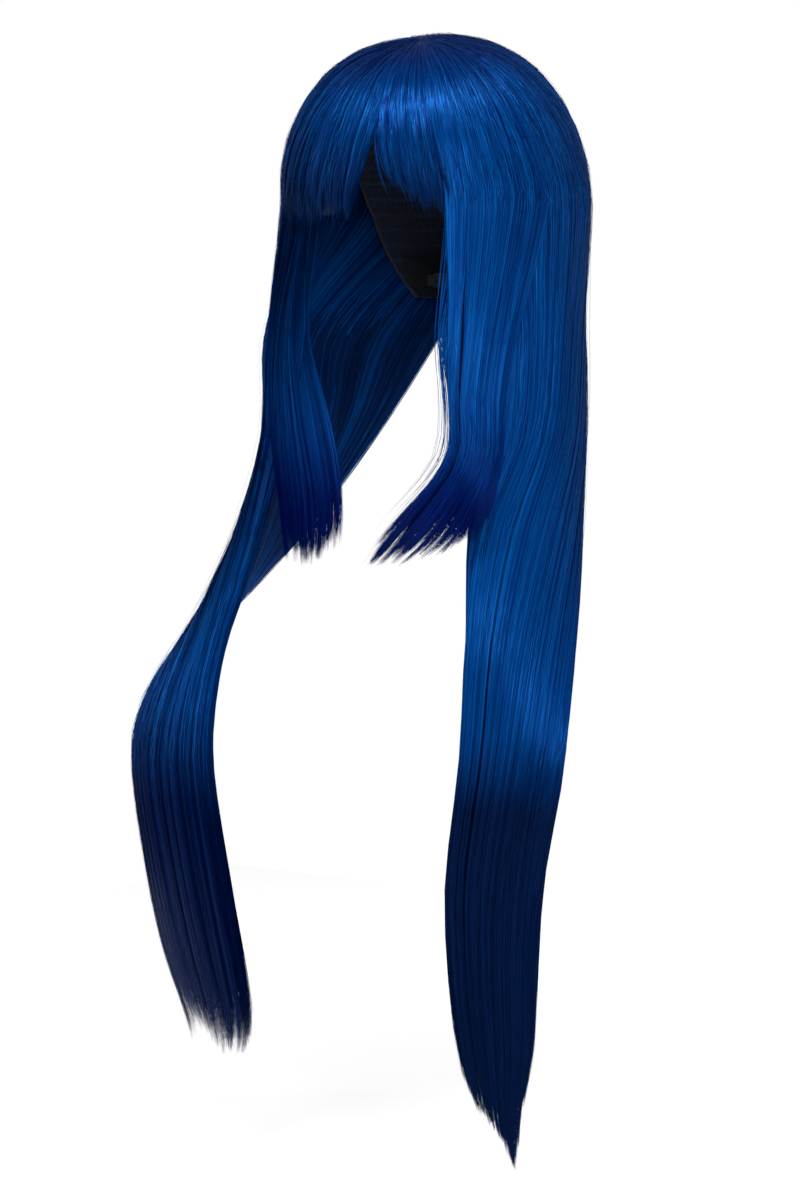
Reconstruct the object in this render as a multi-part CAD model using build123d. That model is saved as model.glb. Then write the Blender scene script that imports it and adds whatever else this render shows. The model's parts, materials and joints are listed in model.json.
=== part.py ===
from build123d import *
import os

os.makedirs("parts", exist_ok=True)

# Long straight wig with a full fringe, worn on a head. Millimetres, +Z up, face towards -Y,
# the wearer's left towards +X. The origin is on the head's mid-plane at eye level, 5 mm in
# front of the middle of the head opening.

# ---------------------------------------------------------------- driving dimensions

HEAD = (77, 98, 110)           # half-axes of the head that the cap fits
CENTRE = (0, 5, 8)             # middle of the head form
HAIR = (103, 120, 123)         # half-axes of the hair's outer surface over the head
HAIR_ROOM = 6.0                # hair starts this far off the head, clear of the cap
WHORL = (8, -32)               # x, y of the point that the crown hair grows from

LINING = (0.3, 1.2)            # layers of the cap, as distances from the head
NET = (1.5, 2.3)
TAPE = (2.6, 3.6)
TRACK = (3.9, 5.2)

RIM = [                        # side view of the cap's rim, front to nape, as (y, z)
    (-130, 64), (-62, 62), (-48, 40), (-42, 0), (-18, 0),
    (-10, 24), (18, 24), (32, 0), (52, -58), (130, -62),
]
BINDING = 6.0                  # width of the elastic round the rim
BAND = 16.0                    # width of the velvet forehead band
RIBBON = 9.0                   # width of the ribbons over the net
PATCH_R = 24.0                 # radius of the crown patch

TRACK_H = 2.5                  # height of a weft track
TRACK_LEVELS = range(-44, 60, 11)
RING_RADII = (29, 38, 47)      # weft rings round the whorl
FRINGE_TRACK_Z = 72.0          # the track that the fringe is sewn to

CROWN_Z = 70.0                 # lower edge of the crown hair
FRINGE_TOP = 57.0
FRINGE_HEM = 6.0
FRINGE_HALF = 68.0             # half the fringe's width
FRINGE_BACK = -60.0            # y where the fringe ends at each temple
FRINGE_THICK = 14.0
FRINGE_GAP_X = 24.0            # where the fringe parts
FRINGE_GAP = 4.0
CURTAIN_X = 76.0               # the side hair starts this far from the mid-plane
CURTAIN_BACK = 22.0            # y where the side hair meets the back hair
CAP_HAIR_LOW = -72.0           # the hair below this swings with the locks
SLIT = 0.5                     # gap between neighbouring sections of hair

# The nape curves about this vertical axis, so the straps slide round it.
NAPE_Y = 36.0
STRAP_R = 49.5                 # radius that the straps run on
STRAP_Z = -46.0
STRAP_H = 8.0
STRAP_T = 1.0
STRAP_SPAN = (24, 66)          # degrees from straight back
SLEEVE_SPAN = (44, 60)
HOOK_SPAN = (18, 23.4)
LOOP_ANGLES = (5, 9, 13, 17)

# Rows down each lock: z, front point, middle point, back point of its section, thickness.
LEFT_ROWS = [
    (-84, (98, -42), (104, 8), (54, 89), 26),
    (-150, (98, -52), (108, -7), (82, 53), 30),
    (-215, (91, -80), (118, -48), (113, 3), 34),
    (-285, (97, -105), (122, -80), (136, -37), 36),
    (-366, (91, -104), (122, -91), (150, -74), 36),
    (-450, (78, -101), (106, -90), (132, -73), 34),
    (-506, (78, -99), (104, -89), (129, -75), 30),
    (-568, (86, -98), (107, -89), (126, -75), 26),
    (-612, (98, -94), (110, -88), (121, -79), 18),
    (-650, (114, -86), (118, -84), (122, -81), 6),
]
RIGHT_ROWS = [
    (-84, (-88, -66), (-103, -16), (-54, 88), 26),
    (-150, (-88, -72), (-107, -20), (-82, 54), 30),
    (-215, (-87, -95), (-106, -62), (-104, 0), 34),
    (-265, (-88, -117), (-111, -98), (-122, -58), 36),
    (-299, (-95, -127), (-118, -119), (-138, -101), 36),
    (-342, (-98, -136), (-133, -127), (-164, -110), 36),
    (-384, (-97, -138), (-138, -127), (-177, -108), 36),
    (-475, (-81, -137), (-124, -125), (-163, -106), 34),
    (-530, (-70, -135), (-111, -123), (-149, -105), 30),
    (-568, (-67, -132), (-98, -122), (-127, -108), 24),
    (-590, (-76, -127), (-99, -121), (-119, -112), 10),
]
# Rows down each short layer beside the face, in the same form.
LEFT_LAYER = [
    (-84, (76, -97), (92, -82), (104, -60), 14),
    (-130, (78, -98), (92, -90), (104, -72), 14),
    (-160, (81, -102), (97, -95), (108, -81), 14),
    (-180, (72, -107), (94, -101), (110, -89), 14),
    (-200, (52, -109), (84, -106), (110, -96), 13),
    (-220, (30, -107), (70, -107), (106, -100), 12),
    (-242, (8, -102), (40, -105), (72, -102), 8),
]
RIGHT_LAYER = [
    (-84, (-70, -98), (-76, -75), (-75, -52), 12),
    (-150, (-67, -103), (-63, -79), (-51, -57), 12),
    (-200, (-59, -105), (-52, -81), (-41, -59), 12),
    (-246, (-57, -101), (-50, -82), (-41, -63), 8),
]

BIG = 400.0                    # larger than the wig's head part, for cutting


# ---------------------------------------------------------------- forms and regions

def ellipsoid(axes):
    """The head form with the given half-axes."""
    ball = scale(Sphere(axes[1]), by=(axes[0] / axes[1], 1, axes[2] / axes[1]))
    return Pos(*CENTRE) * ball


def grown(axes, by):
    return tuple(a + by for a in axes)


def cap_layer(span):
    """A shell that follows the head between two distances from it."""
    return ellipsoid(grown(HEAD, span[1])) - ellipsoid(grown(HEAD, span[0]))


def hair_form(shrink=0.0):
    """The outside of the hair: an ellipsoid over the head, hanging straight below its middle."""
    rx, ry, rz = grown(HAIR, -shrink)
    drop = BIG / 2
    round_part = Sphere(ry) + Pos(0, 0, -drop / 2) * Cylinder(ry, drop)
    return Pos(*CENTRE) * scale(round_part, by=(rx / ry, 1, rz / ry))


def block(x, y, z):
    """A box from its limits along each axis."""
    spans = (x, y, z)
    middle = [(a + b) / 2 for a, b in spans]
    return Pos(*middle) * Box(*[b - a for a, b in spans])


def rim_face(inset=0.0):
    """Side view of the cap above its rim, or that much inside the rim."""
    outline = Polyline(*RIM, (130, BIG), (-130, BIG), close=True)
    face = make_face(outline)
    return offset(face, -inset, kind=Kind.INTERSECTION) if inset else face


def side_prism(face):
    """A side view, drawn as (y, z), carried right through the head from side to side."""
    return extrude(Plane.YZ * face, BIG / 2, both=True)


INSIDE_RIM = side_prism(rim_face())
INSIDE_BINDING = side_prism(rim_face(BINDING))


def upright(radius):
    """A vertical cylinder on the whorl."""
    return Pos(*WHORL, 0) * Cylinder(radius, BIG * 2)


def mirrored(part):
    return mirror(part, about=Plane.YZ)


# ---------------------------------------------------------------- the cap

def cap_net():
    return cap_layer(NET) & INSIDE_RIM


def edge_binding():
    return (cap_layer(TAPE) & INSIDE_RIM) - INSIDE_BINDING


def forehead_band():
    front = block((-BIG, BIG), (-BIG, -50), (0, RIM[0][1] + BAND))
    return cap_layer(LINING) & INSIDE_RIM & front


def nape_lining():
    return cap_layer(LINING) & INSIDE_RIM & block((-BIG, BIG), (50, BIG), (-BIG, -30))


def ear_tab_left():
    return cap_layer(LINING) & INSIDE_RIM & block((0, BIG), (-47, -13), (-5, 36))


def ear_stay_left():
    return cap_layer(TAPE) & block((0, BIG), (-31.5, -28.5), (8, 34))


def crown_patch():
    return cap_layer(TAPE) & upright(PATCH_R) & block((-BIG, BIG), (-BIG, BIG), (0, BIG))


def ribbon(angle):
    """A ribbon from the crown patch down to the binding; 0 runs back, 90 to the wearer's left."""
    strip = Rot(0, 0, -angle) * block((-RIBBON / 2, RIBBON / 2), (0, BIG), (-BIG, BIG))
    strip = Pos(*WHORL, 0) * strip
    return (cap_layer(TAPE) & strip & INSIDE_BINDING) - upright(PATCH_R + SLIT)


def weft_rows_left():
    """The tracks that run from beside the face to the middle of the back."""
    rows = cap_layer(TRACK) & INSIDE_BINDING & block((SLIT, BIG), (-44, BIG), (-BIG, BIG))
    slots = [block((-BIG, BIG), (-BIG, BIG), (z, z + TRACK_H)) for z in TRACK_LEVELS]
    return [rows & s for s in slots]


def weft_rings():
    """Closed tracks round the crown patch."""
    top = cap_layer(TRACK) & block((-BIG, BIG), (-BIG, BIG), (CENTRE[2], BIG))
    return [top & (upright(r + TRACK_H) - upright(r)) for r in RING_RADII]


def fringe_track():
    level = (FRINGE_TRACK_Z, FRINGE_TRACK_Z + TRACK_H)
    ahead = (-BIG, WHORL[1] - RING_RADII[-1] / 2)
    row = cap_layer(TRACK) & block((-FRINGE_HALF, FRINGE_HALF), ahead, level)
    return row - upright(RING_RADII[-1] + TRACK_H + SLIT)


def size_label():
    return cap_layer((0.3, 0.8)) & block((-11, 11), (0, BIG), (-22, -8))


# ---------------------------------------------------------------- the nape adjusters

def nape_arc(radius, height, z, thick, span):
    """A curved bar about the nape's axis, between two angles from straight back to the left."""
    section = Plane.XZ * Pos(radius, z) * Rectangle(thick, height)
    bar = revolve(section, Axis.Z, span[1] - span[0])
    return Pos(0, NAPE_Y, 0) * Rot(0, 0, 90 - span[1]) * bar


def strap_left():
    return nape_arc(STRAP_R, STRAP_H, STRAP_Z, STRAP_T, STRAP_SPAN)


def sleeve_left():
    outer = nape_arc(STRAP_R, STRAP_H + 2.6, STRAP_Z, STRAP_T + 2.0, SLEEVE_SPAN)
    return outer - nape_arc(STRAP_R, STRAP_H + 1.0, STRAP_Z, STRAP_T + 0.8, (0, 90))


def hook_left():
    """A flat frame with a tongue, sewn to the strap's end."""
    frame = nape_arc(STRAP_R, STRAP_H, STRAP_Z, STRAP_T, HOOK_SPAN)
    window = nape_arc(STRAP_R, STRAP_H - 3.0, STRAP_Z, STRAP_T * 3, (19.4, 22))
    tongue = nape_arc(STRAP_R, 1.6, STRAP_Z, STRAP_T, (19.0, 20.9))
    return frame - window + tongue


def loops_left():
    """Thread loops that the hook catches, standing on the nape lining."""
    return [nape_arc(STRAP_R + 1.9, STRAP_H, STRAP_Z, 1.0, (a, a + 1.4)) for a in LOOP_ANGLES]


# ---------------------------------------------------------------- the hair

def head_hair():
    """All the hair over the head, as one shell open below and at the face."""
    return hair_form() - ellipsoid(grown(HEAD, HAIR_ROOM))


def crown_hair():
    return head_hair() & block((-BIG, BIG), (-BIG, BIG), (CROWN_Z, BIG))


def side_hair_left():
    return head_hair() & block(
        (CURTAIN_X, BIG), (-BIG, CURTAIN_BACK - SLIT), (CAP_HAIR_LOW, CROWN_Z - SLIT))


def back_hair_left():
    return head_hair() & block(
        (SLIT / 2, BIG), (CURTAIN_BACK, BIG), (CAP_HAIR_LOW, CROWN_Z - SLIT))


def nape_hair():
    """The short under-layer that closes the gap between the locks behind the neck."""
    rows = [(CAP_HAIR_LOW - SLIT, 92, 44), (-120, 92, 40), (-170, 86, 30)]
    return loft([Pos(0, y, z) * Ellipse(half, 9) for z, y, half in rows])


def fringe_shell():
    shell = hair_form() - hair_form(FRINGE_THICK)
    across = (-FRINGE_HALF, FRINGE_HALF)
    return shell & block(across, (-BIG, FRINGE_BACK), (FRINGE_HEM, FRINGE_TOP))


def fringe_right():
    return fringe_shell() & block((-BIG, FRINGE_GAP_X - FRINGE_GAP / 2), (-BIG, 0), (-BIG, BIG))


def fringe_left():
    return fringe_shell() & block((FRINGE_GAP_X + FRINGE_GAP / 2, BIG), (-BIG, 0), (-BIG, BIG))


def crescent(z, front, middle, back, thick):
    """A curved section of a lock, thin at its front and back edges."""
    f, m, b = (Vector(*p, 0) for p in (front, middle, back))
    out = (b - f).normalized().cross(Vector(0, 0, 1))
    if out.dot(m - (f + b) * 0.5) < 0:
        out = out * -1
    edge, half = out * (thick * 0.2), out * (thick * 0.5)
    outline = [
        ThreePointArc(f + edge, m + half, b + edge), Line(b + edge, b - edge),
        ThreePointArc(b - edge, m - half, f - edge), Line(f - edge, f + edge),
    ]
    return Pos(0, 0, z) * make_face(outline)


def lock(rows):
    return loft([crescent(*row) for row in rows], ruled=True)


# ---------------------------------------------------------------- all the parts

def save(name, part):
    if isinstance(part, list):
        part = Compound(children=[s for p in part for s in p.solids()])
    export_step(part, f"parts/{name}.step")


def save_pair(name, part):
    """A piece on the wearer's left, and its mirror image on the right."""
    save(f"{name}_left", part)
    other = [mirrored(p) for p in part] if isinstance(part, list) else mirrored(part)
    save(f"{name}_right", other)


save("cap_net", cap_net())
save("edge_binding", edge_binding())
save("forehead_band", forehead_band())
save("nape_lining", nape_lining())
save("crown_patch", crown_patch())
save("size_label", size_label())
save_pair("ear_tab", ear_tab_left())
save_pair("ear_stay", ear_stay_left())

save("front_ribbon", ribbon(180))
save("back_ribbon", ribbon(0))
save("side_ribbon_left", ribbon(68))
save("side_ribbon_right", ribbon(-68))
save("diagonal_ribbon_left", ribbon(34))
save("diagonal_ribbon_right", ribbon(-34))

save_pair("weft_rows", weft_rows_left())
save("crown_weft_rings", weft_rings())
save("fringe_track", fringe_track())

save_pair("adjuster_strap", strap_left())
save_pair("strap_sleeve", sleeve_left())
save_pair("strap_hook", hook_left())
save_pair("hook_loops", loops_left())

save("crown_hair", crown_hair())
save_pair("side_hair", side_hair_left())
save_pair("back_hair", back_hair_left())
save("nape_hair", nape_hair())
save("fringe_hair_left", fringe_left())
save("fringe_hair_right", fringe_right())
save("long_lock_left", lock(LEFT_ROWS))
save("long_lock_right", lock(RIGHT_ROWS))
save("face_layer_left", lock(LEFT_LAYER))
save("face_layer_right", lock(RIGHT_LAYER))
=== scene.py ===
import json
import math
import bpy
import numpy as np
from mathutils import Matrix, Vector


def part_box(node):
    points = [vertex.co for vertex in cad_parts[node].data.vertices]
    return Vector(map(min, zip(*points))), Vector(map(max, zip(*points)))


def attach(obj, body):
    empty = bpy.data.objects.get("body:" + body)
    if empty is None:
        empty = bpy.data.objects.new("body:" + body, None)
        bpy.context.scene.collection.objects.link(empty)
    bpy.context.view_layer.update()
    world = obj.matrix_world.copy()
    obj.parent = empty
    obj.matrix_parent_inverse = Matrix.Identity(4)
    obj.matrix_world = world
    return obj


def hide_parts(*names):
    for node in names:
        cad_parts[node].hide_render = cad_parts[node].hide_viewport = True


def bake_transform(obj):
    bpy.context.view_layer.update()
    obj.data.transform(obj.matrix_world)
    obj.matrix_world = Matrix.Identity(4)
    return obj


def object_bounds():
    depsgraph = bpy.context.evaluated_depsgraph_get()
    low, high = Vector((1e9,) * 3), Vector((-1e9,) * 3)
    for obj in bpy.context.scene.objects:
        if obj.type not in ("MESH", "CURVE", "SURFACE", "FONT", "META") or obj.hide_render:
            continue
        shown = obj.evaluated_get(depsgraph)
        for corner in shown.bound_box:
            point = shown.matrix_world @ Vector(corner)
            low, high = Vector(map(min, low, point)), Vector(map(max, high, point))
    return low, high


# Long straight blue wig with a full fringe. The cap comes from the CAD model; all the hair is made
# here, as fine strands that grow from the whorl and follow the rows of each lock. Metres, +Z up,
# the face looks towards -Y.

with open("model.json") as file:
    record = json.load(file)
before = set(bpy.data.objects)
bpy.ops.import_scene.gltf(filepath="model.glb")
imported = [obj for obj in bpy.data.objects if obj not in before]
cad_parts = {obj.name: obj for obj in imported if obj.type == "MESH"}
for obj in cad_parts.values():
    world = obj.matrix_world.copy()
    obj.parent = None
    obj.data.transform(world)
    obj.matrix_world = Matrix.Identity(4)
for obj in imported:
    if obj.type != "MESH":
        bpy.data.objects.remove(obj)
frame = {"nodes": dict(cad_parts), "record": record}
cad_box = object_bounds()

# ------------------------------------------------------------------ sizes, from the frame

MM = 0.001
TOP_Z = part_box("crown_hair")[1].z
HALF_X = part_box("side_hair_left")[1].x
BACK_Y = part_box("back_hair_left")[1].y
FRONT_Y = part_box("fringe_hair_right")[0].y
CENTRE = np.array([0.0, (BACK_Y + FRONT_Y) / 2, 8 * MM])
AXES = np.array([HALF_X, (BACK_Y - FRONT_Y) / 2, TOP_Z - CENTRE[2]])
WHORL = np.array([8 * MM, -32 * MM])
HAIR_DEPTH = 15 * MM            # thickness of the hair over the cap
FRONT_FULLNESS = 0.04           # the front stands this share fuller than the back
HAIR_SCALE = 900 * MM           # length of hair that the strands' texture runs over
FLOOR_DROP = 20 * MM            # the tips hang this far above the floor
SEED = 11

rng = np.random.default_rng(SEED)

# Rows down each lock, close to the CAD model's: z, front point, middle point, back point of the
# section, and its thickness, in millimetres.
LEFT_ROWS = [
    (-84, (98, -42), (104, 8), (54, 89), 26),
    (-150, (98, -52), (108, -7), (82, 53), 30),
    (-215, (91, -80), (118, -48), (113, 3), 34),
    (-285, (97, -105), (122, -80), (136, -37), 36),
    (-366, (91, -104), (122, -91), (150, -74), 36),
    (-450, (78, -101), (106, -90), (132, -73), 34),
    (-506, (78, -99), (104, -89), (129, -75), 30),
    (-568, (86, -98), (107, -89), (126, -75), 26),
    (-612, (98, -94), (110, -88), (121, -79), 18),
    (-650, (114, -86), (118, -84), (122, -81), 6),
]
RIGHT_ROWS = [
    (-84, (-88, -66), (-103, -16), (-54, 88), 26),
    (-150, (-88, -72), (-107, -20), (-82, 54), 30),
    (-215, (-87, -95), (-106, -62), (-104, 0), 34),
    (-265, (-88, -117), (-111, -98), (-122, -58), 36),
    (-299, (-95, -127), (-118, -119), (-138, -101), 36),
    (-342, (-98, -136), (-134, -128), (-167, -112), 36),
    (-384, (-98, -138), (-141, -129), (-181, -110), 36),
    (-475, (-82, -137), (-127, -127), (-168, -109), 34),
    (-530, (-71, -135), (-115, -125), (-155, -108), 30),
    (-568, (-68, -132), (-103, -124), (-136, -111), 24),
    (-590, (-78, -127), (-105, -123), (-128, -115), 12),
]
LEFT_LAYER = [
    (-84, (76, -97), (92, -82), (104, -60), 14),
    (-130, (78, -98), (92, -90), (104, -72), 14),
    (-160, (81, -102), (97, -95), (108, -81), 14),
    (-180, (72, -107), (94, -101), (110, -89), 14),
    (-200, (52, -109), (84, -106), (110, -96), 13),
    (-220, (30, -107), (70, -107), (106, -100), 12),
    (-242, (8, -102), (40, -105), (72, -102), 8),
]
RIGHT_LAYER = [
    (-84, (-70, -98), (-76, -75), (-75, -52), 12),
    (-150, (-67, -103), (-63, -79), (-51, -57), 12),
    (-200, (-59, -105), (-52, -81), (-41, -59), 12),
    (-246, (-57, -101), (-50, -82), (-41, -63), 8),
]
NAPE_ROWS = [
    (6, (-34, 110), (0, 118), (34, 110), 9),
    (-40, (-46, 85), (0, 106), (46, 85), 10),
    (-84, (-50, 84), (0, 100), (50, 84), 16),
    (-130, (-42, 84), (0, 98), (42, 84), 14),
    (-172, (-30, 82), (0, 92), (30, 82), 8),
]

# ------------------------------------------------------------------ the flow of the hair

DOME_STEPS = np.array([0.012, 0.14, 0.3, 0.45, 0.6, 0.75, 0.88, 1.0])
FRONT = (-0.15, 0.3)            # where the front fullness comes in, from the back of a unit head
SWELL_FROM = 0.17               # fullness left at the widest level, as a share of a half wave
ROOT_RISE = 0.35                # strands leave the cap this much deeper at the whorl
RISE_ENDS = 0.5                 # the dome step where that has faded out
UNEVEN = 0.05                   # how far strands rise and dip over the head, as a share of depth
TUCK = (150, 265)               # levels below the eye, in mm, where stray hair is gathered in
HANG_BACK = (0.03, 0.055)       # how far each edge of a long lock hangs behind its sections
HANG_LEVELS = (300, 400)        # and the levels, in mm, where that comes in
EDGE_THICK = 0.4                # thickness of a lock's two edges, as a share of its middle


def unit(v):
    return v / np.maximum(np.linalg.norm(v, axis=-1, keepdims=True), 1e-9)


def ease(x, low, high):
    t = np.clip((x - low) / (high - low), 0, 1)
    return t * t * (3 - 2 * t)


def dome(turn, step, depth):
    """A point on the head's hair: turn in degrees from straight ahead to the wearer's left,
    step from the whorl (0) to the widest level (1), depth from the surface (0) to the cap (1)."""
    a = np.radians(turn)
    edge = np.stack([np.sin(a), -np.cos(a), np.zeros_like(a)], -1)
    w = (WHORL - CENTRE[:2]) / AXES[:2]
    pole = np.array([w[0], w[1], math.sqrt(1 - w @ w)])
    angle = np.arccos(np.clip(edge @ pole, -1, 1))[..., None]
    k = np.asarray(step)[..., None]
    ray = (np.sin((1 - k) * angle) * pole + np.sin(k * angle) * edge) / np.sin(angle)
    height = np.clip(ray[..., 2:3], 0, 1)
    swell = np.sin(np.pi * (SWELL_FROM + (1 - SWELL_FROM) * height))
    full = 1 + FRONT_FULLNESS * ease(-ray[..., 1:2], *FRONT) * swell
    out = unit(ray / AXES)
    return CENTRE + ray * AXES * full - out * (np.asarray(depth) * HAIR_DEPTH)[..., None], out


def section(row, s, depth):
    """A point of a lock's section: s runs from its front edge to its back edge."""
    z, front, middle, back, thick = row
    f, m, b = (np.array(p) * MM for p in (front, middle, back))
    s = s[:, None]
    at = f * (2 * s * s - 3 * s + 1) + m * (4 * s - 4 * s * s) + b * (2 * s * s - s)
    along = f * (4 * s - 3) + m * (4 - 8 * s) + b * (4 * s - 1)
    out = unit(np.stack([along[:, 1], -along[:, 0]], -1))
    if (b - f)[1] * (m - (f + b) / 2)[0] - (b - f)[0] * (m - (f + b) / 2)[1] < 0:
        out = -out
    swell = EDGE_THICK + (1 - EDGE_THICK) * np.clip(4 * s * (1 - s), 0, 1) ** 0.7
    at = at + out * (0.5 - depth[:, None]) * thick * MM * swell
    level = np.full(len(at), z * MM)
    return np.column_stack([at, level]), np.column_stack([out, np.zeros(len(at))])


def controls(turn, s, depth, rows, pull=0.0, clump_s=0.0, rise=ROOT_RISE, uneven=0.0):
    """The points that each strand passes: over the head, then down the rows. pull draws strands
    towards clump_s, the heart of their clump, as they go down."""
    points, normals = [], []
    for i, step in enumerate(DOME_STEPS):
        lift = rise * (1 - ease(step, 0, RISE_ENDS)) + rng.normal(0, uneven, len(turn))
        p, n = dome(turn, np.full_like(turn, step), depth + lift)
        points.append(p)
        normals.append(n)
    for k, row in enumerate(rows):
        at = s + (clump_s - s) * pull * ((k + 1) / len(rows)) ** 3
        at = at + (np.clip(at, 0, 1) - at) * ease(-row[0], *TUCK)
        hang = HANG_BACK[0] * (1 - at) + HANG_BACK[1] * at
        at = at + hang * ease(-row[0], *HANG_LEVELS)
        p, n = section(row, at, depth)
        points.append(p)
        normals.append(n)
    return np.stack(points, 1), np.stack(normals, 1)


def spline(points, knots, q):
    """Smooth curves through control points, at each strand's own parameters."""
    tangents = np.empty_like(points)
    span = (knots[2:] - knots[:-2])[None, :, None]
    tangents[:, 1:-1] = (points[:, 2:] - points[:, :-2]) / span
    tangents[:, 0] = (points[:, 1] - points[:, 0]) / (knots[1] - knots[0])
    tangents[:, -1] = (points[:, -1] - points[:, -2]) / (knots[-1] - knots[-2])
    k = np.clip(np.searchsorted(knots, q, side="right") - 1, 0, len(knots) - 2)
    h = knots[k + 1] - knots[k]
    x = ((q - knots[k]) / h)[..., None]
    h = h[..., None]
    row = np.arange(len(points))[:, None]
    a, b, ta, tb = points[row, k], points[row, k + 1], tangents[row, k], tangents[row, k + 1]
    return (a * (2 * x**3 - 3 * x**2 + 1) + b * (3 * x**2 - 2 * x**3)
            + ta * h * (x**3 - 2 * x**2 + x) + tb * h * (x**3 - x**2))


def knots_of(points):
    """Where each control point lies along the mean strand, from 0 to 1, and its whole length."""
    mean = points.mean(0)
    gaps = np.linalg.norm(np.diff(mean, axis=0), axis=1)
    knots = np.concatenate([[0], np.cumsum(gaps)])
    return knots / knots[-1], knots[-1]


WAVE_RATE = 1.3                 # half waves of wander down a strand, for the slowest wave


def drift(count, samples, size, waves=3):
    """Slow sideways wander, different for each strand, growing from the root."""
    v = np.linspace(0, 1, samples)[None, :, None]
    total = np.zeros((count, samples, 3))
    for w in range(1, waves + 1):
        phase = rng.uniform(0, 2 * np.pi, (count, 1, 3))
        swing = rng.normal(0, 1, (count, 1, 3)) / w
        total += swing * (np.sin(v * np.pi * w * WAVE_RATE + phase) - np.sin(phase))
    return total * size * v


# ------------------------------------------------------------------ meshes

MOST_FACES = 190000             # triangles in one piece
ROLL = 0.2                      # turn of a strand about its length, in radians
ROOT_WIDTH = 0.55               # width of a strand at its root, as a share of the full width
ROOT_SHARE = 0.1                # share of its length that it takes to widen
TAPER_FROM = 0.84               # where a strand starts to narrow to its tip
STRAND_U = 0.0001               # half the width of a strand on the texture


def mesh_object(name, verts, quads, uvs, material):
    """A smooth-shaded mesh from arrays, with one texture coordinate per vertex."""
    mesh = bpy.data.meshes.new(name)
    mesh.vertices.add(len(verts))
    mesh.vertices.foreach_set("co", verts.astype(np.float32).ravel())
    mesh.loops.add(quads.size)
    mesh.loops.foreach_set("vertex_index", quads.astype(np.int32).ravel())
    mesh.polygons.add(len(quads))
    mesh.polygons.foreach_set("loop_start", np.arange(0, quads.size, 4, dtype=np.int32))
    mesh.polygons.foreach_set("loop_total", np.full(len(quads), 4, np.int32))
    mesh.polygons.foreach_set("use_smooth", np.ones(len(quads), bool))
    layer = mesh.uv_layers.new(name="OFBake")
    layer.data.foreach_set("uv", uvs[quads.ravel()].astype(np.float32).ravel())
    mesh.update()
    mesh.validate()
    mesh.materials.append(material)
    obj = bpy.data.objects.new(name, mesh)
    bpy.context.scene.collection.objects.link(obj)
    return obj


def ribbons(name, path, normal, width, tone, reach, material, tip=0.12):
    """Fine flat strands that turn a little about their length and narrow to the tip. tone is
    each strand's place across the texture, and reach each point's distance from the root."""
    count, samples = path.shape[:2]
    along = unit(np.gradient(path, axis=1))
    side = unit(np.cross(along, unit(normal)))
    face = unit(np.cross(side, along))
    roll = rng.normal(0, ROLL, (count, 1, 1))
    side = side * np.cos(roll) + face * np.sin(roll)
    v = np.linspace(0, 1, samples)
    taper = ROOT_WIDTH + (1 - ROOT_WIDTH) * ease(v, 0, ROOT_SHARE)
    taper = taper * (tip + (1 - tip) * (1 - ease(v, TAPER_FROM, 1)))
    half = (width[:, None] * taper[None, :] / 2)[..., None]
    verts = np.stack([path - side * half, path + side * half], 2).reshape(-1, 3)
    start = (np.arange(count)[:, None] * samples + np.arange(samples - 1)[None, :]) * 2
    start = start.ravel()
    quads = np.stack([start, start + 1, start + 3, start + 2], -1)
    u = tone[:, None, None] + np.array([-1, 1])[None, None, :] * STRAND_U
    along_hair = reach[..., None] / HAIR_SCALE
    uvs = np.stack(np.broadcast_arrays(u, along_hair), -1).reshape(-1, 2)
    return mesh_object(name, verts, quads, uvs, material)


def in_bundles(name, path, normal, width, tone, reach, material, tip=0.12):
    """The same strands as several pieces side by side, each small enough to keep whole."""
    count, samples = path.shape[:2]
    pieces = math.ceil(count * (samples - 1) * 2 / MOST_FACES)
    order = np.argsort(tone, kind="stable")
    made = []
    for i, part in enumerate(np.array_split(order, pieces)):
        label = f"{name}_{i + 1}" if pieces > 1 else name
        made.append(ribbons(label, path[part], normal[part], width[part], tone[part], reach[part],
                            material, tip))
    return made


MASS_INSET = 0.02               # the mass stops this share short of each edge and of the whorl
MASS_THINS = 0.86               # where it starts to thin to its end
MASS_END = 0.96                 # share of its thickness lost there


def body_of_hair(name, rows, turns, q_end, material, depths=(0.3, 0.8), columns=72, samples=64):
    """The closed mass under the strands, thinning to its end."""
    s = np.linspace(MASS_INSET, 1 - MASS_INSET, columns)
    turn = turns[0] + (turns[1] - turns[0]) * s
    sides = []
    for depth in depths:
        d = np.full(columns, depth)
        points, _ = controls(turn, s, d, rows)
        knots, length = knots_of(points)
        q = np.broadcast_to(np.linspace(MASS_INSET, q_end, samples), (columns, samples))
        sides.append(spline(points, knots, q))
    outer, inner = sides
    thin = ease(np.linspace(0, 1, samples), MASS_THINS, 1)[None, :, None] * MASS_END
    middle = (outer + inner) / 2
    outer, inner = outer + (middle - outer) * thin, inner + (middle - inner) * thin
    ring = np.concatenate([outer, inner[::-1]], 0).transpose(1, 0, 2)
    across = ring.shape[1]
    verts = ring.reshape(-1, 3)
    i, j = np.meshgrid(np.arange(samples - 1), np.arange(across), indexing="ij")
    i, j = i.ravel(), j.ravel()
    k = (j + 1) % across
    here, below = i * across, (i + 1) * across
    quads = np.stack([here + j, here + k, below + k, below + j], -1)
    ends = []
    for base in (0, (samples - 1) * across):
        n = np.arange(columns - 1)
        ends.append(base + np.stack([n, across - 1 - n, across - 2 - n, n + 1], -1))
    quads = np.concatenate([quads, ends[0], ends[1][:, ::-1]])
    u = np.concatenate([s, s[::-1]])
    v = q[0] * length / HAIR_SCALE
    uvs = np.stack(np.broadcast_arrays(u[None, :], v[:, None]), -1).reshape(-1, 2)
    return mesh_object(name, verts, quads, uvs, material)


# ------------------------------------------------------------------ materials

def tree(name):
    mat = bpy.data.materials.new(name)
    mat.use_nodes = True
    nodes = mat.node_tree.nodes
    return mat, nodes, mat.node_tree.links, nodes["Principled BSDF"]


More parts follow.
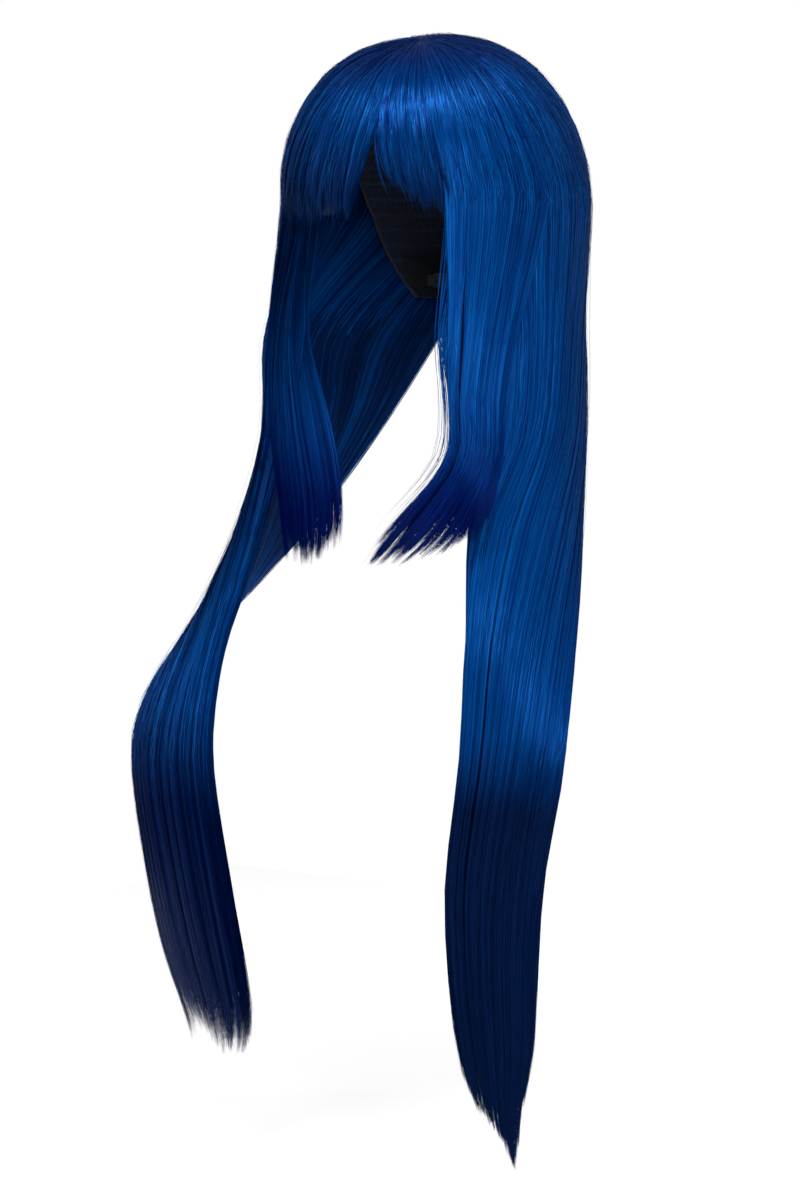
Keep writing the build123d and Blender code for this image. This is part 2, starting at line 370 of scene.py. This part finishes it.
def ramp(nodes, stops):
    node = nodes.new("ShaderNodeValToRGB")
    elements = node.color_ramp.elements
    while len(elements) < len(stops):
        elements.new(0.5)
    for element, (at, colour) in zip(elements, stops):
        element.position = at
        element.color = (*colour, 1)
    return node


def joined(nodes, links, kind, a, b):
    """The two values put together by one Math step."""
    node = nodes.new("ShaderNodeMath")
    node.operation = kind
    for socket, value in zip(node.inputs, (a, b)):
        if isinstance(value, float):
            socket.default_value = value
        else:
            links.new(value, socket)
    return node.outputs[0]


def fade(nodes, links, value, low, high, start, end):
    node = nodes.new("ShaderNodeMapRange")
    node.interpolation_type = "SMOOTHSTEP"
    sockets = ("From Min", "From Max", "To Min", "To Max")
    for socket, number in zip(sockets, (low, high, start, end)):
        node.inputs[socket].default_value = number
    links.new(value, node.inputs["Value"])
    return node.outputs["Result"]


def add_bump(nodes, links, shader, height, strength, distance):
    node = nodes.new("ShaderNodeBump")
    node.inputs["Strength"].default_value = strength
    node.inputs["Distance"].default_value = distance
    links.new(height, node.inputs["Height"])
    links.new(node.outputs["Normal"], shader.inputs["Normal"])


# Painted shade: the hair's colour is darkened at the roots, over the crown, and towards the tips.
ROOT_PAINTED_SHADE = (0.35, 0.35, 0.5)
ROOT_SHADE_FADE = (0.03, 0.1)         # where the painted shade at the roots ends, as a share of HAIR_SCALE
# Painted shade on the lower part of the hair, towards the tips.
TIP_PAINTED_SHADE = (0.3, 0.1, 0.16)
STREAKS = ((1900, 3.0), (60, 1.6))      # fine and broad: how many across, how many along
BROAD_SHARE = 0.36              # weight of the broad streaks
SILK = {"Anisotropic": 0.75, "Metallic": 0.24, "Specular IOR Level": 0.13}
SILK_GLINT = (0.2, 0.5, 0.95, 1)
STREAK_DEPTH = 0.5 * MM


def hair_material(name, stops, ends=(0.64, 0.72), tip=TIP_PAINTED_SHADE, roughness=0.33, bump=0.0):
    """Silky fibre: fine and broad streaks along the strand, with painted shade at the roots and
    towards the tips. ends is where the painted shade at the tips comes in, as a share of HAIR_SCALE
    from the root."""
    mat, nodes, links, shader = tree(name)
    uv = nodes.new("ShaderNodeUVMap")
    uv.uv_map = "OFBake"
    split = nodes.new("ShaderNodeSeparateXYZ")
    links.new(uv.outputs["UV"], split.inputs[0])
    tones = []
    for across, along in STREAKS:
        place = nodes.new("ShaderNodeMapping")
        place.inputs["Scale"].default_value = (across, along, 1)
        links.new(uv.outputs["UV"], place.inputs["Vector"])
        noise = nodes.new("ShaderNodeTexNoise")
        noise.noise_dimensions = "2D"
        noise.inputs["Scale"].default_value = 1.0
        noise.inputs["Detail"].default_value = 2.0
        links.new(place.outputs["Vector"], noise.inputs["Vector"])
        tones.append(noise.outputs["Fac"])
    mix = nodes.new("ShaderNodeMix")
    mix.data_type = "FLOAT"
    mix.inputs["Factor"].default_value = BROAD_SHARE
    links.new(tones[0], mix.inputs["A"])
    links.new(tones[1], mix.inputs["B"])
    colour = ramp(nodes, stops)
    links.new(mix.outputs["Result"], colour.inputs["Fac"])
    # Painted shade: this ramp down the strand darkens the roots and the tips.
    plain = (1, 1, 1)
    roots = [(ROOT_SHADE_FADE[0], ROOT_PAINTED_SHADE), (ROOT_SHADE_FADE[1], plain)]
    painted_shade = ramp(nodes, roots + [(ends[0], plain), (ends[1], tip)])
    painted_shade.color_ramp.interpolation = "EASE"
    links.new(split.outputs["Y"], painted_shade.inputs["Fac"])
    shade = nodes.new("ShaderNodeVectorMath")
    shade.operation = "MULTIPLY"
    links.new(colour.outputs["Color"], shade.inputs[0])
    links.new(painted_shade.outputs["Color"], shade.inputs[1])
    links.new(shade.outputs["Vector"], shader.inputs["Base Color"])
    tangent = nodes.new("ShaderNodeTangent")
    tangent.direction_type = "UV_MAP"
    tangent.uv_map = "OFBake"
    links.new(tangent.outputs["Tangent"], shader.inputs["Tangent"])
    shader.inputs["Roughness"].default_value = roughness
    for socket, number in SILK.items():
        shader.inputs[socket].default_value = number
    shader.inputs["Specular Tint"].default_value = SILK_GLINT
    if bump:
        add_bump(nodes, links, shader, tones[0], bump, STREAK_DEPTH)
    return mat


WAVE_PERIOD = 2 * math.pi / 20  # a wave texture of scale 1 repeats after this length
WEAVE_DEPTH = 0.3 * MM
SHEEN_TINT = (0.35, 0.45, 0.7, 1)


def cloth(name, dark, light, patterns, roughness=0.8, bump=0.3, metallic=0.0, sheen=0.0):
    """A woven, ribbed, piled or moulded surface. patterns lists (kind, size, weight): bands along
    an axis, cells or noise, with their size in metres."""
    mat, nodes, links, shader = tree(name)
    place = nodes.new("ShaderNodeTexCoord").outputs["Object"]
    total = None
    for kind, size, weight in patterns:
        if kind == "noise":
            node = nodes.new("ShaderNodeTexNoise")
            node.inputs["Scale"].default_value = 1 / size
            node.inputs["Detail"].default_value = 3.0
            value = node.outputs["Fac"]
        elif kind == "cells":
            node = nodes.new("ShaderNodeTexVoronoi")
            node.inputs["Scale"].default_value = 1 / size
            value = node.outputs["Distance"]
        else:
            node = nodes.new("ShaderNodeTexWave")
            node.bands_direction = kind
            node.inputs["Scale"].default_value = WAVE_PERIOD / size
            node.inputs["Distortion"].default_value = 0.6
            value = node.outputs["Fac"]
        links.new(place, node.inputs["Vector"])
        part = joined(nodes, links, "MULTIPLY", value, weight)
        total = part if total is None else joined(nodes, links, "ADD", total, part)
    colour = ramp(nodes, [(0.15, dark), (0.85, light)])
    links.new(total, colour.inputs["Fac"])
    links.new(colour.outputs["Color"], shader.inputs["Base Color"])
    shader.inputs["Roughness"].default_value = roughness
    shader.inputs["Metallic"].default_value = metallic
    shader.inputs["Sheen Weight"].default_value = sheen
    shader.inputs["Sheen Tint"].default_value = SHEEN_TINT
    add_bump(nodes, links, shader, total, bump, WEAVE_DEPTH)
    return mat


TRACK_PITCH = 11 * MM           # the weft tracks are this far apart over the net
NET_CELL = 1.5 * MM
NET_THREAD = (0.018, 0.02, 0.03, 1)
BETWEEN_TRACKS = (0.0, 0.009, 0.045)
BEHIND_TRACK = (0.004, 0.035, 0.14)


def net_material():
    """Fine stretch net: threads round small cells, with the blue hair and the sewn tracks showing
    through them."""
    mat, nodes, links, shader = tree("stretch_net")
    place = nodes.new("ShaderNodeTexCoord").outputs["Object"]
    cells = nodes.new("ShaderNodeTexVoronoi")
    cells.feature = "DISTANCE_TO_EDGE"
    cells.inputs["Scale"].default_value = 1 / NET_CELL
    cells.inputs["Randomness"].default_value = 0.3
    links.new(place, cells.inputs["Vector"])
    thread = fade(nodes, links, cells.outputs["Distance"], 0.08, 0.2, 1.0, 0.0)
    split = nodes.new("ShaderNodeSeparateXYZ")
    links.new(place, split.inputs[0])
    level = joined(nodes, links, "MULTIPLY", split.outputs["Z"], 1 / TRACK_PITCH)
    level = joined(nodes, links, "FRACT", level, 0.0)
    track = fade(nodes, links, level, 0.18, 0.3, 1.0, 0.0)
    behind = ramp(nodes, [(0.0, BETWEEN_TRACKS), (1.0, BEHIND_TRACK)])
    links.new(track, behind.inputs["Fac"])
    mix = nodes.new("ShaderNodeMix")
    mix.data_type = "RGBA"
    links.new(thread, mix.inputs["Factor"])
    links.new(behind.outputs["Color"], mix.inputs["A"])
    mix.inputs["B"].default_value = NET_THREAD
    links.new(mix.outputs["Result"], shader.inputs["Base Color"])
    shader.inputs["Roughness"].default_value = 0.75
    add_bump(nodes, links, shader, thread, 0.5, WEAVE_DEPTH)
    return mat


COBALT = [(0.33, (0.0, 0.014, 0.115)), (0.5, (0.0, 0.044, 0.23)), (0.67, (0.001, 0.105, 0.40))]
# Painted shade: the darker navy of the mass under the strands and of the nape strands stands in for
# the shade they lie in.
SHADED_NAVY = [(0.3, (0.0, 0.003, 0.025)), (0.5, (0.0, 0.010, 0.06)), (0.7, (0.0, 0.022, 0.11))]
# The darker tips of these materials are painted shade: on the lower locks, the short face layers and
# the fringe's hem.
hair = {
    "left": hair_material("hair_left", COBALT, ends=(0.62, 0.7)),
    "right": hair_material("hair_right", COBALT, ends=(0.64, 0.75), tip=(0.3, 0.14, 0.24)),
}
hair_layer = hair_material("hair_short_layer", COBALT, ends=(0.3, 0.42), tip=(0.3, 0.13, 0.42))
hair_fringe = hair_material("hair_fringe", COBALT, ends=(0.08, 0.165), tip=(0.5, 0.3, 0.36))
shaded_under_hair = hair_material("shaded_under_hair", SHADED_NAVY, ends=(0.5, 0.9))
shaded_hair_mass = hair_material("shaded_hair_mass", SHADED_NAVY, ends=(0.5, 0.8), roughness=0.45, bump=0.6)

BLACK = (0.006, 0.006, 0.009)
CHARCOAL = (0.04, 0.042, 0.055)
velvet = cloth("velvet", (0.003, 0.003, 0.006), (0.016, 0.017, 0.028),
               [("noise", 1.2 * MM, 0.7), ("noise", 9 * MM, 0.4)], 0.9, 0.5, sheen=0.15)
ribbon = cloth("woven_ribbon", BLACK, CHARCOAL,
               [("Z", 0.9 * MM, 0.4), ("DIAGONAL", 0.7 * MM, 0.4), ("noise", 6 * MM, 0.3)],
               0.5, 0.4, sheen=0.2)
elastic = cloth("ribbed_elastic", BLACK, CHARCOAL,
                [("Z", 1.4 * MM, 0.6), ("X", 0.5 * MM, 0.2), ("noise", 5 * MM, 0.3)], 0.75, 0.6)
track = cloth("sewn_track", (0.0, 0.008, 0.05), (0.004, 0.05, 0.2),
              [("X", 0.6 * MM, 0.4), ("Y", 0.6 * MM, 0.4), ("noise", 2 * MM, 0.3)], 0.5, 0.7)
sewing = cloth("sewing_thread", BLACK, CHARCOAL,
               [("DIAGONAL", 0.4 * MM, 0.8), ("noise", 1 * MM, 0.3)], 0.6, 0.6)
steel = cloth("bright_steel", (0.42, 0.42, 0.44), (0.66, 0.66, 0.68),
              [("Y", 0.15 * MM, 0.4), ("noise", 3 * MM, 0.6)], 0.32, 0.08, metallic=1.0)
nylon = cloth("moulded_nylon", (0.008, 0.008, 0.009), (0.03, 0.03, 0.033),
              [("noise", 0.4 * MM, 0.5), ("noise", 4 * MM, 0.5)], 0.4, 0.12)
satin = cloth("label_satin", (0.62, 0.61, 0.57), (0.86, 0.85, 0.81),
              [("Z", 0.5 * MM, 0.5), ("X", 0.3 * MM, 0.2), ("noise", 4 * MM, 0.3)], 0.55, 0.2)
film = cloth("skin_film", (0.38, 0.24, 0.17), (0.66, 0.46, 0.35),
             [("cells", 1.6 * MM, 0.9), ("noise", 7 * MM, 0.5)], 0.6, 0.25)

FINISHES = {
    "cap_net": net_material(), "skin_patch": film, "elastic": elastic, "ribbon": ribbon,
    "velvet": velvet, "weft_track": track, "thread": sewing, "stay_steel": steel,
    "hook_plastic": nylon, "label": satin,
}
for part in frame["record"]["subparts"]:
    if part["material_slot"] in FINISHES:
        faces = frame["nodes"][part["node"]].data.materials
        faces.clear()
        faces.append(FINISHES[part["material_slot"]])

# ------------------------------------------------------------------ strands of each section

STRAND = 0.45 * MM              # width of a strand, which stands for a few fibres side by side
FINE = 0.3 * MM
TURN_SPREAD = 0.8               # how far strands stray from their own turn, in degrees
CLUMP_BLUR = 0.15               # how far they stray from their clump, as a share of its width
SPARE = 2                       # clumps past each end, for the strays
HEART = (0.25, 0.75)            # where in a clump its strands meet
ROOT_CROWD = 1.5                # power that crowds the roots towards their near end
POINT_CROWD = 1.3               # power that crowds a strand's points towards its root


def strands(name, count, rows, turns, ends, material, spread=(0, 1), depth=(0.0, 0.3),
            root=(0.0, 0.2), samples=33, clumps=44, pull=0.6, wander=0.7 * MM, width=STRAND,
            ragged=10 * MM):
    """Strands over one part of the head and down one set of rows. spread is the part of the rows'
    width that they fill, depth how deep they lie and root where they start. ends gives the height
    that each ends at, in millimetres, for its share of the way across."""
    share = rng.permutation((np.arange(count) + rng.uniform(0, 1, count)) / count)
    s = spread[0] + (spread[1] - spread[0]) * share
    turn = turns[0] + (turns[1] - turns[0]) * share + rng.normal(0, TURN_SPREAD, count)
    d = depth[0] + (depth[1] - depth[0]) * rng.uniform(0, 1, count)
    groups = clumps + 2 * SPARE
    group = np.floor(share * clumps + rng.normal(0, CLUMP_BLUR, count)).astype(int) + SPARE
    group = group % groups
    heart = rng.uniform(*HEART, groups)[group]
    middle = np.clip((group - SPARE + heart) / clumps, 0, 1)
    clump_s = spread[0] + (spread[1] - spread[0]) * middle
    points, normals = controls(turn, s, d, rows, pull, clump_s, uneven=UNEVEN)
    knots, length = knots_of(points)
    heights = np.array([row[0] for row in rows])
    low = np.interp(share, *zip(*ends)) + np.abs(rng.normal(0, ragged / MM, count))
    low += np.abs(rng.normal(0, ragged / MM, groups))[group]
    q1 = np.interp(-low, -heights, knots[len(DOME_STEPS):])
    q0 = root[0] + (root[1] - root[0]) * rng.uniform(0, 1, count) ** ROOT_CROWD
    q = q0[:, None] + (q1 - q0)[:, None] * (np.linspace(0, 1, samples) ** POINT_CROWD)[None, :]
    path = spline(points, knots, q)
    normal = spline(normals, knots, q)
    clump_wave = drift(groups, samples, wander)[group]
    path = path + clump_wave + drift(count, samples, wander * 0.5)
    wide = width * rng.uniform(0.7, 1.25, count)
    return in_bundles(name, path, normal, wide, share, q * length, material)


LONG_TURNS = (64, 180.5)        # the part of the head that each lock grows from, in degrees
SHORT_TURNS = (41, 80)
LOCK_MASS_END = 0.92            # where the mass stops, as a share of the way to the last row
LAYER_MASS_END = 0.87
FLYAWAYS = 36
FACE_WISPS = 80
LEFT_ENDS = [(0, -602), (0.25, -618), (0.5, -634), (0.75, -655), (0.9, -636), (1, -606)]
RIGHT_ENDS = [(0, -590), (0.3, -590), (0.6, -576), (0.8, -560), (0.87, -554), (0.94, -590), (1, -582)]
LEFT_LAYER_ENDS = [(0, -234), (0.15, -242), (0.55, -239), (0.75, -230), (1, -208)]
RIGHT_LAYER_ENDS = [(0, -243), (0.4, -246), (1, -236)]
SIDES = {
    "left": (1, LEFT_ROWS, LEFT_LAYER, LEFT_ENDS, LEFT_LAYER_ENDS),
    "right": (-1, RIGHT_ROWS, RIGHT_LAYER, RIGHT_ENDS, RIGHT_LAYER_ENDS),
}
# Layers of each long lock: name, how many strands, how deep, where they start, and how far
# across the lock.
LAYERS = [
    ("outer", 5600, (0.12, 0.3), (0.0, 0.04), (0.0, 1.0)),
    ("middle", 2800, (0.3, 0.6), (0.02, 0.14), (-0.14, 1.0)),
    ("inner", 1700, (0.5, 0.82), (0.12, 0.2), (-0.2, 1.0)),
]
LAYER_DEPTHS = [("outer", 3000, (0.0, 0.4)), ("inner", 1400, (0.4, 1.0))]


def swing_blend(piece):
    """Bakes the piece's placement into its mesh."""
    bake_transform(piece)


for side, (sign, rows, layer, ends, layer_ends) in SIDES.items():
    turns = [sign * a for a in LONG_TURNS]
    made = [body_of_hair(f"{side}_lock_mass", rows, turns, LOCK_MASS_END, shaded_hair_mass)]
    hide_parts(f"long_lock_{side}", f"side_hair_{side}", f"back_hair_{side}")
    for label, count, depth, root, spread in LAYERS:
        made += strands(f"{side}_lock_{label}_strands", count, rows, turns, ends, hair[side],
                        spread=spread, depth=depth, root=root, ragged=13 * MM)
    made += strands(f"{side}_lock_flyaways", FLYAWAYS, rows, turns, ends, hair[side],
                    spread=(0.0, 1.0), depth=(0.0, 0.2), wander=1.1 * MM, width=FINE,
                    ragged=60 * MM, pull=0.0)
    turns = [sign * a for a in SHORT_TURNS]
    mass = body_of_hair(f"{side}_face_layer_mass", layer, turns, LAYER_MASS_END, shaded_hair_mass,
                        columns=40)
    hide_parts(f"face_layer_{side}")
    made.append(mass)
    for label, count, depth in LAYER_DEPTHS:
        made += strands(f"{side}_face_layer_{label}_strands", count, layer, turns, layer_ends,
                        hair_layer, depth=depth, root=(0.0, 0.1), samples=27, clumps=25,
                        pull=0.2, ragged=9 * MM)
    made += strands(f"{side}_face_wisps", FACE_WISPS, layer, turns, layer_ends, hair_layer,
                    spread=(-0.2, 0.15), depth=(0.2, 1.0), root=(0.1, 0.3), samples=27,
                    wander=1.6 * MM, width=FINE, ragged=40 * MM, pull=0.0)
    for piece in made:
        swing_blend(piece)

# ------------------------------------------------------------------ the fringe

FRINGE_TURNS = (-52, 46)
PARTING = 12.5                  # turn at which the fringe falls apart into a narrow V
SWEEP = ((7, 14), (9, 16))      # how far each side sweeps from it, and over how many degrees
SWEEP_FROM = 0.6                # the dome step where they start to sweep
SWEEP_CURVE = 1.3
FRINGE_FLAT = 0.6               # depth of the fringe, as a share of the hair's elsewhere
BELOW = 38 * MM                 # it hangs on this far below the widest level,
DRAWN_IN = np.array([0.985, 0.985, 1])      # drawn in towards the face by this much
CLUMP_HEM = 2.5 * MM            # how far the ends of its clumps differ
# The fringe's hem: turn in degrees and height above the eyes in millimetres.
HEM = [(-52, -2), (-12, 0), (4, 3), (11.5, 9), (13, 26), (18, 18), (24.5, 10), (36, 5), (46, 3)]
HEM_STEPS = 60                  # places down a strand where its height is looked up
FRINGE_SAMPLES = 28
FRINGE_CLUMPS = 56


def fringe(name, count, depth, root, width=STRAND, wander=0.7 * MM, ragged=8 * MM, drop=4 * MM):
    """Strands of the fringe. They end up to ragged above the hem and drop below it."""
    share = rng.permutation((np.arange(count) + rng.uniform(0, 1, count)) / count)
    turn = FRINGE_TURNS[0] + (FRINGE_TURNS[1] - FRINGE_TURNS[0]) * share
    d = depth[0] + (depth[1] - depth[0]) * rng.uniform(0, 1, count)
    group = np.floor(share * FRINGE_CLUMPS).astype(int)
    hem = np.interp(turn, *zip(*HEM)) * MM + np.abs(rng.normal(0, ragged, count)) - drop
    hem += rng.normal(0, CLUMP_HEM, FRINGE_CLUMPS + 1)[group]
    away = turn - PARTING
    swept = np.where(away < 0, -SWEEP[0][0] * np.exp(away / SWEEP[0][1]),
                     SWEEP[1][0] * np.exp(-away / SWEEP[1][1]))
    points, normals = [], []
    for step in DOME_STEPS:
        lift = ROOT_RISE * (1 - ease(step, 0, RISE_ENDS)) + rng.normal(0, UNEVEN, count)
        free = max(0.0, (step - SWEEP_FROM) / (1 - SWEEP_FROM))
        bent = turn + swept * free ** SWEEP_CURVE
        p, n = dome(bent, np.full_like(turn, step), d * FRINGE_FLAT + lift)
        points.append(p)
        normals.append(n)
    points.append(points[-1] * DRAWN_IN - np.array([0, 0, BELOW]))
    normals.append(normals[-1])
    points, normals = np.stack(points, 1), np.stack(normals, 1)
    knots, length = knots_of(points)
    fine = np.linspace(0.3, 1, HEM_STEPS)
    levels = spline(points, knots, np.broadcast_to(fine, (count, HEM_STEPS)))[..., 2]
    q1 = np.array([np.interp(-h, -z, fine) for h, z in zip(hem, levels)])
    q0 = root[0] + (root[1] - root[0]) * rng.uniform(0, 1, count) ** ROOT_CROWD
    q = q0[:, None] + (q1 - q0)[:, None] * np.linspace(0, 1, FRINGE_SAMPLES)[None, :]
    path = spline(points, knots, q)
    path = path + drift(FRINGE_CLUMPS + 1, FRINGE_SAMPLES, wander * 1.3)[group]
    path = path + drift(count, FRINGE_SAMPLES, wander * 0.5)
    normal = spline(normals, knots, q)
    wide = width * rng.uniform(0.7, 1.2, count)
    return in_bundles(name, path, normal, wide, share, q * length, hair_fringe, tip=0.06)


made = fringe("fringe_outer_strands", 6000, (0.15, 0.6), (0.0, 0.1))
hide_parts("fringe_hair_left", "fringe_hair_right", "crown_hair")
made += fringe("fringe_inner_strands", 2600, (0.4, 1.0), (0.1, 0.35))
made += fringe("fringe_wisps", 260, (0.0, 0.7), (0.3, 0.5), width=FINE, wander=2.2 * MM,
               ragged=9 * MM, drop=12 * MM)
for piece in made:
    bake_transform(piece)

# ------------------------------------------------------------------ under-layer at the nape

NAPE_SAMPLES = 18
NAPE_END = (0.98, 0.05)         # where its strands end down the rows, and how unevenly
NAPE_TONE_FROM = 0.15           # the texture's place at its roots, past the painted root shade


def nape(name, count):
    """Short strands that hang behind the neck, inside the two locks."""
    share = rng.permutation((np.arange(count) + rng.uniform(0, 1, count)) / count)
    d = rng.uniform(0, 1, count)
    parts = [section(row, share, d) for row in NAPE_ROWS]
    points = np.stack([p for p, _ in parts], 1)
    normals = np.stack([n for _, n in parts], 1)
    knots, length = knots_of(points)
    q1 = NAPE_END[0] - np.abs(rng.normal(0, NAPE_END[1], count))
    q = q1[:, None] * np.linspace(0, 1, NAPE_SAMPLES)[None, :]
    path = spline(points, knots, q) + drift(count, NAPE_SAMPLES, 1.5 * MM)
    wide = STRAND * rng.uniform(0.7, 1.2, count)
    reach = NAPE_TONE_FROM * HAIR_SCALE + q * length
    return ribbons(name, path, spline(normals, knots, q), wide, share, reach, shaded_under_hair)


under = nape("nape_strands", 2000)
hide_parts("nape_hair")
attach(under, "cap")

# ------------------------------------------------------------------ floor, light and camera

VIEW_TURN = math.radians(34)
DISTANCE = 2.3
EYE_Z = -0.060
AIM_RIGHT = -0.0255             # the view's centre is this far along the camera's right
AIM_Z = -0.273
LENS = 97.3
SENSOR = 36
FLOOR_SIZE = 1.7
FLOOR_GLOW = 0.4                # lifts the floor to the studio's white
ROOM_LIGHT = 0.25               # how much the white room lights the hair
LIGHTS = {                      # place, aim, size in metres, and power in watts
    "top_light": ((0.61, -0.91, 2.0), (0, -0.06, 0.07), (3.2, 0.3), 64),
    "key_light": ((1.9, -1.9, 0.5), (0, 0, -0.2), (1.2, 1.4), 32),
    "fill_light": ((-1.6, -1.8, 0.2), (0, 0, -0.2), (1.0, 1.6), 18),
}

bpy.ops.mesh.primitive_plane_add(size=FLOOR_SIZE, location=(0, 0, cad_box[0][2] - FLOOR_DROP))
floor = bpy.context.object
floor.name = "floor"
mat, nodes, links, shader = tree("floor_white")
shader.inputs["Base Color"].default_value = (0.85, 0.85, 0.86, 1)
shader.inputs["Roughness"].default_value = 0.8
shader.inputs["Emission Color"].default_value = (1, 1, 1, 1)
shader.inputs["Emission Strength"].default_value = FLOOR_GLOW
floor.data.materials.append(mat)


def area_light(name, place, aim, size, power):
    data = bpy.data.lights.new(name, "AREA")
    data.shape = "RECTANGLE"
    data.size, data.size_y = size
    data.energy = power
    obj = bpy.data.objects.new(name, data)
    bpy.context.scene.collection.objects.link(obj)
    obj.location = place
    direction = np.array(aim) - np.array(place)
    obj.rotation_euler = Vector(direction).to_track_quat("-Z", "Y").to_euler()


for name, (place, aim, size, power) in LIGHTS.items():
    area_light(name, place, aim, size, power)

world = bpy.data.worlds.new("studio")
bpy.context.scene.world = world
world.use_nodes = True
nodes, links = world.node_tree.nodes, world.node_tree.links
seen = nodes.new("ShaderNodeLightPath")
glow = nodes.new("ShaderNodeMapRange")
glow.inputs["To Min"].default_value = ROOM_LIGHT
glow.inputs["To Max"].default_value = 1.0
links.new(seen.outputs["Is Camera Ray"], glow.inputs["Value"])
nodes["Background"].inputs["Color"].default_value = (1, 1, 1, 1)
links.new(glow.outputs["Result"], nodes["Background"].inputs["Strength"])

data = bpy.data.cameras.new("camera")
data.lens = LENS
data.sensor_width = SENSOR
camera = bpy.data.objects.new("camera", data)
bpy.context.scene.collection.objects.link(camera)
right = np.array([math.cos(VIEW_TURN), math.sin(VIEW_TURN), 0])
place = np.array([math.sin(VIEW_TURN) * DISTANCE, -math.cos(VIEW_TURN) * DISTANCE, EYE_Z])
aim = right * AIM_RIGHT + np.array([0, 0, AIM_Z])
camera.location = place
camera.rotation_euler = Vector(aim - place).to_track_quat("-Z", "Y").to_euler()
bpy.context.scene.camera = camera
bpy.context.scene.view_settings.view_transform = "Standard"
